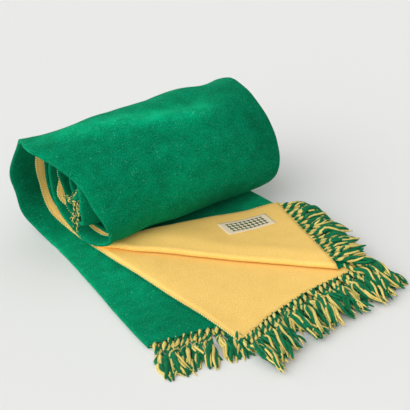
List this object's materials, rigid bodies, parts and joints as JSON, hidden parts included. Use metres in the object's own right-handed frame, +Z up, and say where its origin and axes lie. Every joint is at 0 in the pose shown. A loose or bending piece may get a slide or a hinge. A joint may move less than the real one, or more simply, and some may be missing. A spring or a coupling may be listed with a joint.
{
  "type": "rolled fringed wool blanket",
  "caption": "Two-faced green and yellow wool blanket with twisted tassels on both ends, folded lengthwise, rolled up, with its loose end out and one corner turned back.",
  "frame": {"origin": "on the floor under the roll, where the stack starts to turn up", "axes": "+X along the roll, to the end with the closed folds; -Y towards the loose end and its fringe; +Z up"},
  "size_m": [0.5269, 0.621, 0.229],
  "materials": {
    "wool": "brushed wool, green on one face and yellow on the other",
    "tassel": "twisted wool yarn, green and yellow plies"
  },
  "bodies": {
    "root": {"blanket": "wool", "fringe_flap": "tassel", "fringe_top": "tassel", "fringe_second": "tassel", "fringe_third": "tassel", "fringe_bottom": "tassel", "fringe_core_1": "tassel", "fringe_core_2": "tassel", "fringe_core_3": "tassel", "fringe_core_4": "tassel"}
  },
  "joints": []
}
